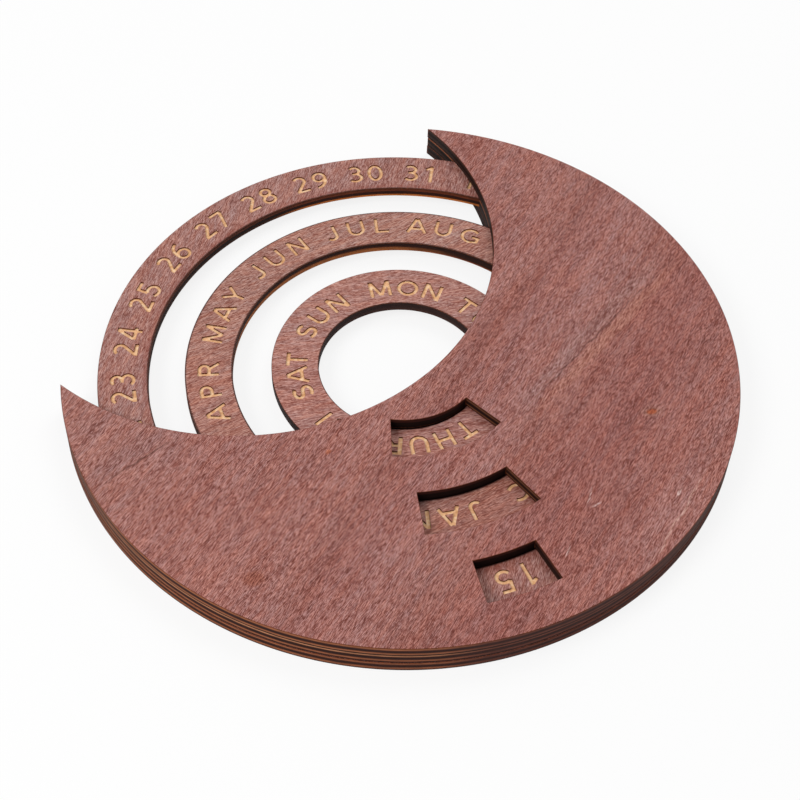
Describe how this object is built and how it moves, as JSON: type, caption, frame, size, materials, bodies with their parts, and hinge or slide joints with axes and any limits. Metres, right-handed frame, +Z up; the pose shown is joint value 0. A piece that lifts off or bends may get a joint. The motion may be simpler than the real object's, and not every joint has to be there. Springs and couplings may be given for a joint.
{
  "type": "perpetual desk calendar",
  "caption": "Flat round perpetual calendar of laser-cut plywood: weekday, month and date rings turn in a crescent frame and show through three windows.",
  "frame": {"origin": "on the axis that all three rings turn about, at the underside of the back plate", "axes": "+Z up out of the front plate, towards the reader; the windows lie at -Y, 23 degrees towards +X; the crescent's cut-away opens towards -X +Y"},
  "size_m": [0.1639, 0.1649, 0.009],
  "materials": {
    "frame_plywood": "bare pinkish-brown veneer, laser-burnt edges",
    "spacer_plywood": "laser-burnt plywood edges",
    "ring_plywood": "bare pinkish-brown veneer, engraved to the pale ply below"
  },
  "bodies": {
    "frame": {"back_plate": "frame_plywood", "rim_spacer": "spacer_plywood", "outer_rail_spacer": "spacer_plywood", "inner_rail_spacer": "spacer_plywood", "hub_spacer": "spacer_plywood", "front_plate": "frame_plywood"},
    "weekday_dial": {"weekday_ring": "ring_plywood"},
    "month_dial": {"month_ring": "ring_plywood"},
    "date_dial": {"date_ring": "ring_plywood"}
  },
  "joints": [
    {"name": "weekday_turn", "type": "hinge", "parent": "frame", "child": "weekday_dial", "pos_m": [0, 0, 0.0044], "axis": [0, 0, 1], "continuous": true},
    {"name": "month_turn", "type": "hinge", "parent": "frame", "child": "month_dial", "pos_m": [0, 0, 0.0044], "axis": [0, 0, 1], "continuous": true},
    {"name": "date_turn", "type": "hinge", "parent": "frame", "child": "date_dial", "pos_m": [0, 0, 0.0044], "axis": [0, 0, 1], "continuous": true}
  ]
}
